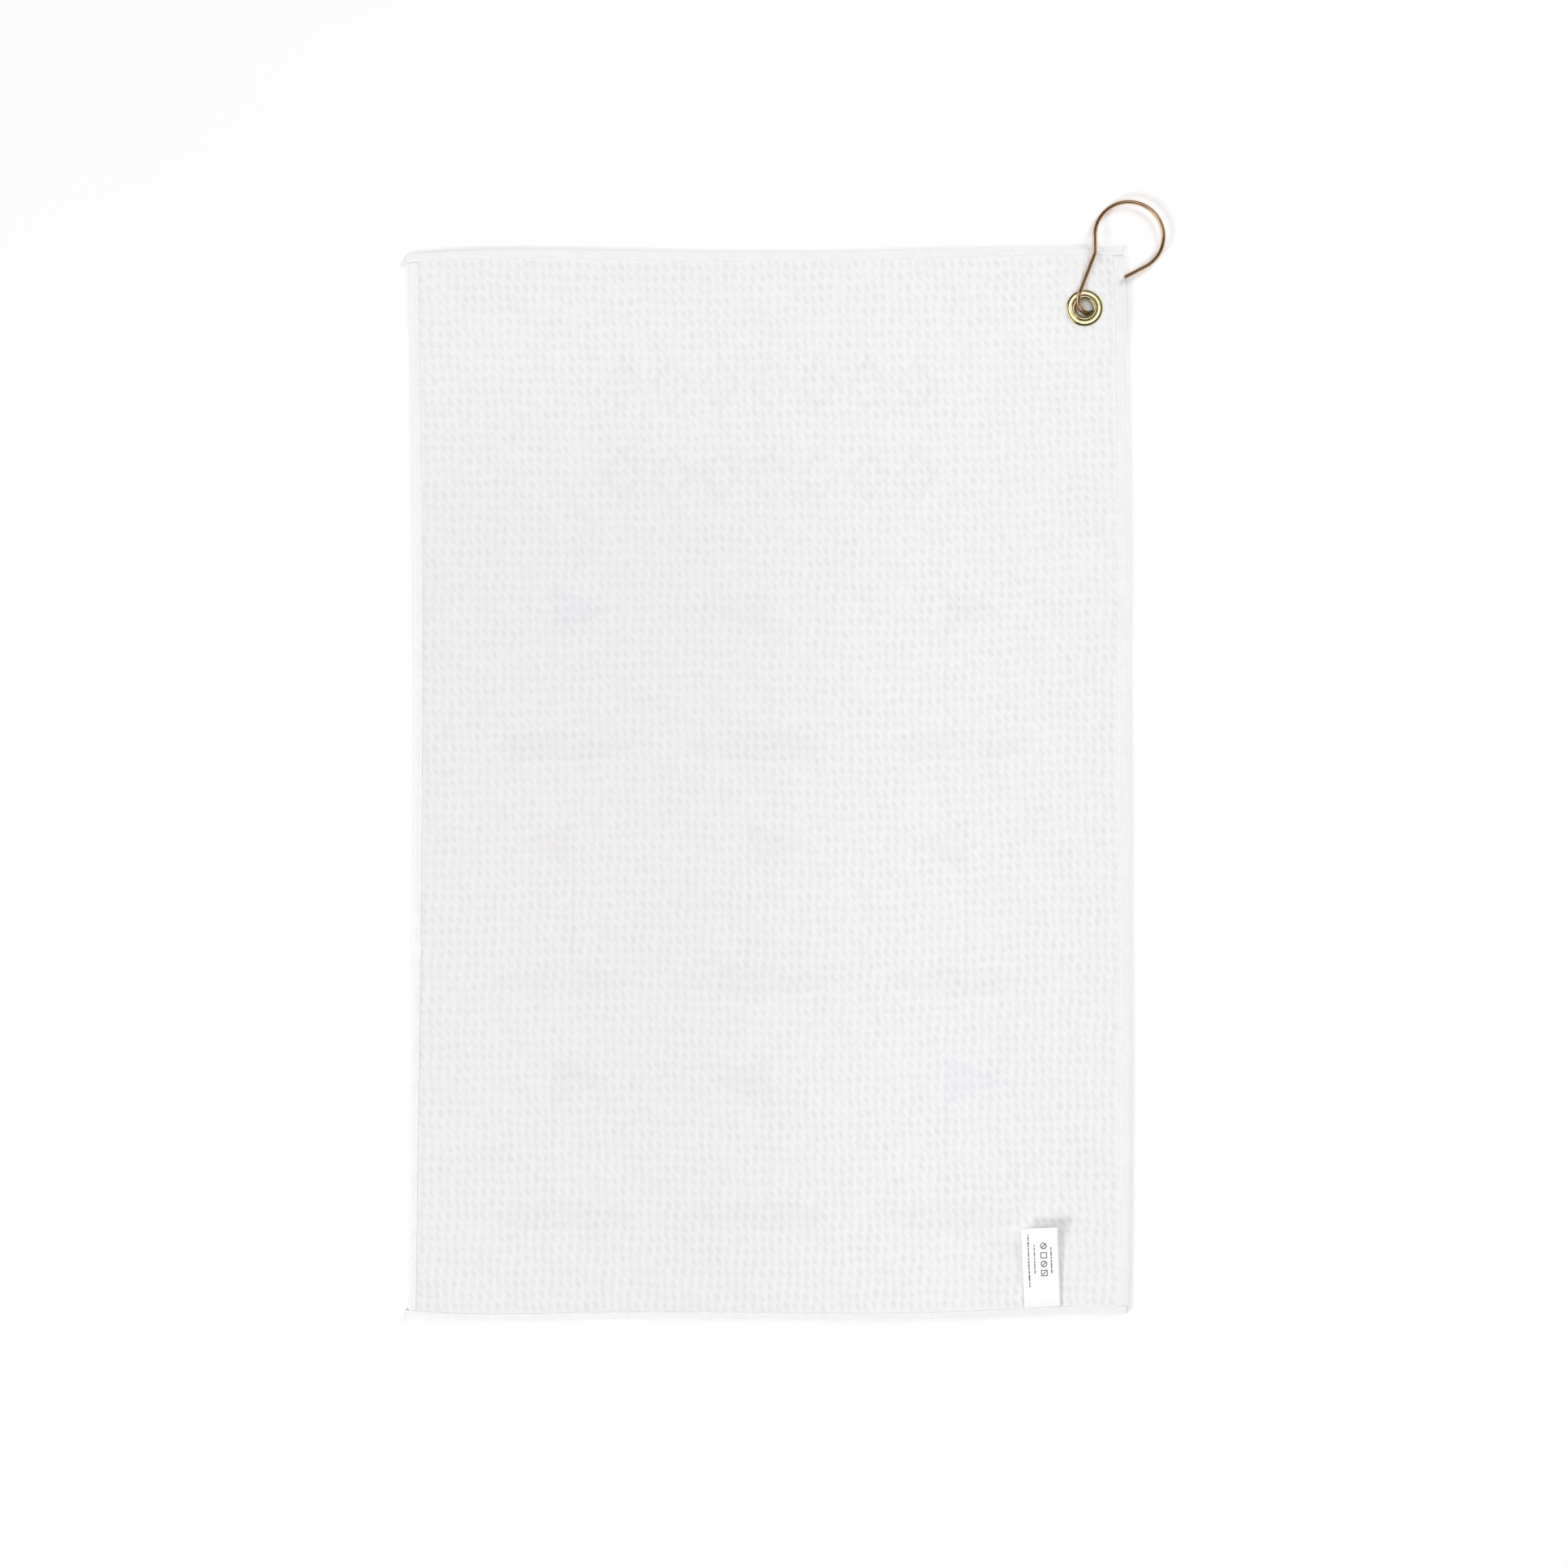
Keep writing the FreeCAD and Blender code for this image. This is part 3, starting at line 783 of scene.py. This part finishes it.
def thread_material():
    """White polyester thread, twisted and slightly glossy."""
    g = Graph("sewing_thread")
    place = g.node("TexCoord", 3)
    x, y, z = g.split(place)
    twist = g.math("SINE", g.math("MULTIPLY", g.math("ADD", g.math("ADD", x, y), z), 16000.0))
    fibre = g.noise(place, 1500.0, 2.0)
    base = g.mix(g.ramp(twist, -1.0, 1.0, 0.0, 0.18), (0.965, 0.965, 0.97, 1), (0.78, 0.78, 0.80, 1))
    normal = g.bump(g.math("ADD", g.math("MULTIPLY", twist, 0.5), fibre), 0.4, 0.0001)
    g.set(Base_Color=base, Roughness=g.ramp(fibre, 0.2, 0.8, 0.45, 0.65), Normal=normal)
    g.set(Sheen_Weight=0.2)
    return g.material


def metal_material(name, bright, deep, rim, polish):
    """Plated metal with a fine grain, rubbed patches and a little tarnish."""
    g = Graph(name)
    place = g.node("TexCoord", 3)
    smear = g.noise(place, 260.0, 3.0, 0.6)
    grain = g.noise(place, 2400.0, 2.0, 0.5)
    tarnish = g.ramp(smear, 0.52, 0.78, 0.0, 0.45)
    base = g.mix(tarnish, bright, deep)
    rough = g.math("ADD", g.ramp(smear, 0.3, 0.7, polish, polish + 0.10),
                   g.math("MULTIPLY", grain, 0.04))
    normal = g.bump(g.math("ADD", grain, g.math("MULTIPLY", smear, 2.0)), 0.06, 0.0001)
    g.set(Base_Color=base, Metallic=1.0, Roughness=rough, Specular_Tint=rim, Normal=normal)
    return g.material


def label_bars(g, across, along):
    """Bars broken up like lines of words."""
    flecks = g.node("TexNoise", 0, noise_dimensions="1D", inputs={"W": along, "Scale": 1.35, "Detail": 1.0})
    words = g.ramp(flecks, 0.40, 0.47)
    bars = 0.0
    for middle, start, end, thick in LABEL_BARS:
        half = (end - start) / 2
        beside, before = g.math("SUBTRACT", across, middle), g.math("SUBTRACT", along, start + half)
        bar = inside_box(g, beside, before, thick, half, 0.12)
        bars = g.math("MAXIMUM", bars, g.math("MULTIPLY", bar, words))
    return bars


def label_marks(g, across, along):
    """A row of plain outlines, round and square, some of them struck through."""
    marks = 0.0
    for number, middle in enumerate(MARKS_ALONG):
        x = g.math("SUBTRACT", across, MARK_ACROSS)
        y = g.math("SUBTRACT", along, middle)
        if number in ROUND_MARKS:
            outer = inside_oval(g, x, y, 1.9, 1.9, 0.12)
            inner = inside_oval(g, x, y, 1.3, 1.3, 0.14)
        else:
            outer = inside_box(g, x, y, 1.9, 1.8, 0.12)
            inner = inside_box(g, x, y, 1.35, 1.25, 0.12)
        mark = g.math("SUBTRACT", outer, inner, clamp=True)
        if number in STRUCK_MARKS:
            stroke = inside_box(g, g.math("SUBTRACT", x, y), g.math("ADD", x, y), 0.42, 2.0, 0.12)
            mark = g.math("MAXIMUM", mark, stroke)
        marks = g.math("MAXIMUM", marks, mark)
    return marks


def label_material():
    """White satin ribbon with a plain print of bars and four simple outlines."""
    g = Graph("label_satin_print")
    uv = g.node("UVMap", 0, uv_map="ribbon")
    u, v, _ = g.split(uv)
    across = g.math("MULTIPLY", u, LABEL_WIDTH * 1000)
    along = g.math("SUBTRACT", g.math("MULTIPLY", v, (LABEL_LENGTH + LABEL_TAB) * 1000), LABEL_TAB * 1000)
    print_mask = g.math("MAXIMUM", label_bars(g, across, along), label_marks(g, across, along))
    ribs = g.math("SINE", g.math("MULTIPLY", along, 34.0))
    warp = g.math("SINE", g.math("MULTIPLY", across, 41.0))
    soft = g.noise(uv, 9.0, 2.0)
    # Painted shade: the ribbon is darker and bluer towards its sewn end.
    base = g.mix(g.ramp(along, 26.0, -2.0, 0.0, 0.55), (0.93, 0.93, 0.935, 1), (0.86, 0.865, 0.91, 1))
    base = g.mix(g.ramp(soft, 0.3, 0.7, 0.0, 0.10), base, (0.83, 0.84, 0.86, 1))
    base = g.mix(g.math("MULTIPLY", print_mask, 0.9), base, (0.035, 0.037, 0.042, 1))
    height = g.math("ADD", g.math("MULTIPLY", ribs, 0.5), g.math("MULTIPLY", warp, 0.3))
    normal = g.bump(height, 0.12, 0.00008)
    g.set(Base_Color=base, Roughness=g.ramp(soft, 0.2, 0.8, 0.30, 0.42), Normal=normal)
    g.set(Sheen_Weight=0.15, Specular_IOR_Level=0.5)
    return g.material


# ---------------------------------------------------------------- stage, light and camera

def stage():
    """A wide, pale surface, a touch darker on the brighter-lit left, that fades out white far away."""
    reach = 12.0
    mesh = bpy.data.meshes.new("floor")
    corners = [(-reach, -reach, 0), (reach, -reach, 0), (reach, reach, 0), (-reach, reach, 0)]
    mesh.from_pydata(corners, [], [(0, 1, 2, 3)])
    floor = bpy.data.objects.new("floor", mesh)
    bpy.context.scene.collection.objects.link(floor)
    g = Graph("pale_floor")
    place = g.node("TexCoord", 3)
    x, _, _ = g.split(place)
    away = g.node("VectorMath", 1, operation="LENGTH", inputs={0: place})
    shade = g.mix(g.ramp(x, -0.40, 0.45), (0.868, 0.868, 0.868, 1), (0.925, 0.925, 0.925, 1))
    g.set(Base_Color=shade, Roughness=0.8, Specular_IOR_Level=0.1)
    g.set(Emission_Color=(1, 1, 1, 1), Emission_Strength=g.ramp(away, 1.2, 4.5, 0.0, 0.80))
    g.material.cycles.emission_sampling = "NONE"
    mesh.materials.append(g.material)


def area_light(name, place, size, power, aim=(0, 0, 0), matt=True, mirrored=True):
    """A soft light that matt surfaces, bright metal or both can see."""
    light = bpy.data.lights.new(name, "AREA")
    light.shape = "RECTANGLE"
    light.size, light.size_y = size
    light.energy = power
    lamp = bpy.data.objects.new(name, light)
    lamp.location = place
    lamp.rotation_euler = (Vector(aim) - Vector(place)).to_track_quat("-Z", "Y").to_euler()
    lamp.visible_camera = False
    lamp.visible_diffuse = matt
    lamp.visible_glossy = mirrored
    bpy.context.scene.collection.objects.link(lamp)


def lights():
    """Three soft lights for the cloth, and two of the metal's own for it to mirror."""
    area_light("overhead", (0.0, 0.0, 3.4), (2.6, 2.6), 73, mirrored=False)
    area_light("lower_left", (-1.9, -1.7, 1.9), (0.9, 1.2), 49, mirrored=False)
    area_light("upper_right", (1.7, 2.0, 1.9), (1.0, 1.3), 36, mirrored=False)
    area_light("shine", (0.40, 0.62, 3.2), (0.8, 0.8), 5, aim=(0.18, 0.27, 0), matt=False)
    area_light("left_panel", (-2.0, -0.4, 1.7), (3.2, 1.3), 21, aim=(0.18, 0.27, 0), matt=False)


def sky():
    """Pale near the horizon and dim overhead, so that bright metal has something dark to show."""
    world = bpy.data.worlds.new("studio")
    bpy.context.scene.world = world
    world.use_nodes = True
    tree = world.node_tree
    place = tree.nodes.new("ShaderNodeTexCoord")
    split = tree.nodes.new("ShaderNodeSeparateXYZ")
    total = tree.nodes.new("ShaderNodeMath")
    # Two layers, each as (low, high, strength at the low height, strength at the high one)
    for number, fade in enumerate(((0.15, 0.80, 0.34, 0.05), (0.06, 0.32, 0.60, 0.0))):
        height = tree.nodes.new("ShaderNodeMapRange")
        height.interpolation_type = "SMOOTHSTEP"
        for socket, value in enumerate(fade):
            height.inputs[socket + 1].default_value = value
        tree.links.new(split.outputs[2], height.inputs[0])
        tree.links.new(height.outputs[0], total.inputs[number])
    background = tree.nodes["Background"]
    background.inputs["Color"].default_value = (1.0, 0.995, 0.99, 1)
    tree.links.new(place.outputs["Generated"], split.inputs[0])
    tree.links.new(total.outputs[0], background.inputs["Strength"])


def camera():
    """Straight above the towel, through a long lens, framed as wide as the picture shows."""
    lens = bpy.data.cameras.new("camera")
    lens.lens = 100
    lens.sensor_width = 36
    eye = bpy.data.objects.new("camera", lens)
    eye.location = (*VIEW_MIDDLE, VIEW_WIDTH * lens.lens / lens.sensor_width)
    bpy.context.scene.collection.objects.link(eye)
    bpy.context.scene.camera = eye


def dress(node, material):
    """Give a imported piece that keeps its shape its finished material."""
    mesh = bpy.data.objects[node].data
    mesh.materials.clear()
    mesh.materials.append(material)


def main():
    bpy.context.scene.view_settings.view_transform = "Standard"
    camera()
    stage()
    lights()
    sky()
    plain = cloth_material("plain_side", 0.035)
    printed = cloth_material("printed_side", 0.85)
    tape = binding_material()
    thread = thread_material()
    panel = waffle_panel([plain, printed])
    edging = []
    for name in SIDES:
        edging.append(band_piece(name, tape))
        edging += side_threads(name, thread)
    label = care_label(label_material())
    sewn = label_thread(thread)
    brass = metal_material("pale_brass", (0.78, 0.67, 0.38, 1), (0.42, 0.32, 0.12, 1),
                           (0.70, 0.60, 0.35, 1), 0.09)
    copper = metal_material("copper_plate", (0.84, 0.57, 0.37, 1), (0.40, 0.20, 0.10, 1),
                            (0.42, 0.24, 0.14, 1), 0.09)
    dress("grommet_eyelet", brass)
    dress("grommet_washer", brass)
    dress("hook_wire", copper)
    cut = (edge("right", 0) - edge("left", 0), edge("top", 0) - edge("bottom", 0))


main()
